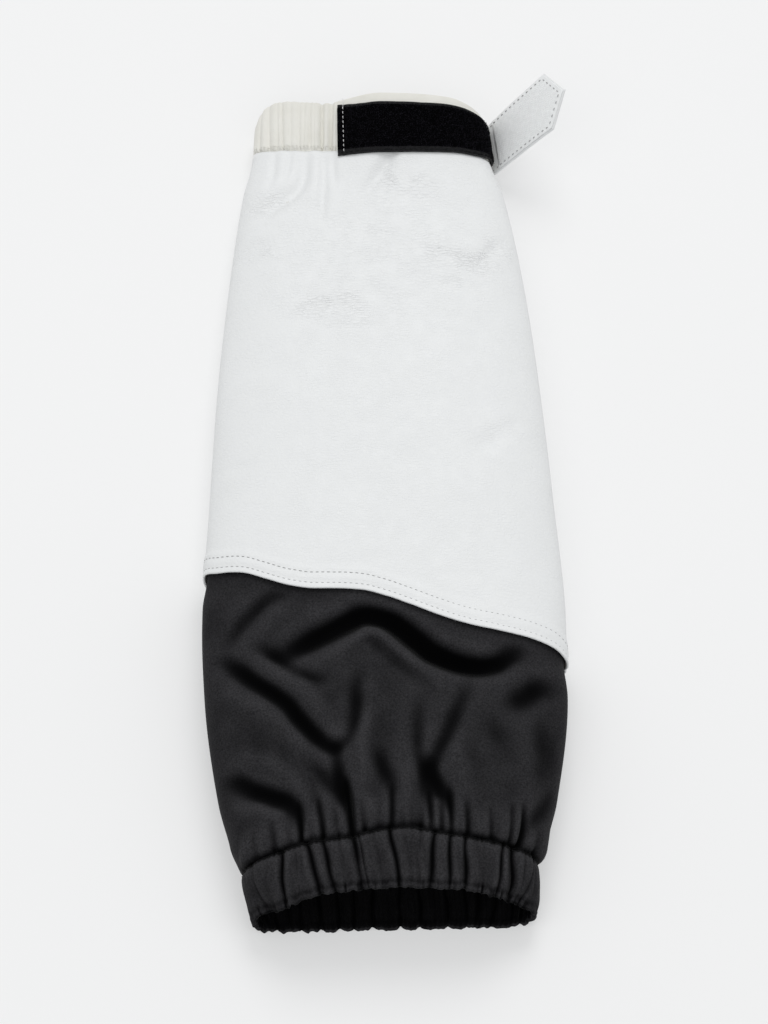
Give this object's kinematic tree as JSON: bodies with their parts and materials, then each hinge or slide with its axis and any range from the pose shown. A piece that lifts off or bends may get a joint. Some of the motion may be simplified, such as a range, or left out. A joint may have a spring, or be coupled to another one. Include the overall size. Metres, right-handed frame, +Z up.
{
  "type": "leather arm sleeve",
  "caption": "Protective arm sleeve lying flat: white leather tube with a sloping hem over black fabric, an elastic cuff, and a wrist band closed by a pointed hook-and-loop tab.",
  "frame": {"origin": "on the surface that the sleeve lies on, under the middle of its whole outline", "axes": "+Y along the sleeve from the elastic cuff to the wrist, +X to the right side where the closing tab is, +Z up from the surface"},
  "size_m": [0.1878, 0.4654, 0.0589],
  "materials": {
    "white_leather": "fine-grained white leather, satin",
    "black_fabric": "soft black brushed knit, matt",
    "cuff_fabric": "the same black knit, gathered over elastic",
    "cream_band": "smooth cream band, partly gathered",
    "loop_tape": "black loop tape with a dense pile",
    "tab_leather": "white leather with stitched edges",
    "hook_tape": "pale grey hook tape"
  },
  "bodies": {
    "root": {"leather_body": "white_leather", "fabric_panel": "black_fabric", "elastic_cuff": "cuff_fabric", "wrist_band": "cream_band", "loop_strip": "loop_tape", "closing_tab": "tab_leather", "hook_patch": "hook_tape"}
  },
  "joints": []
}
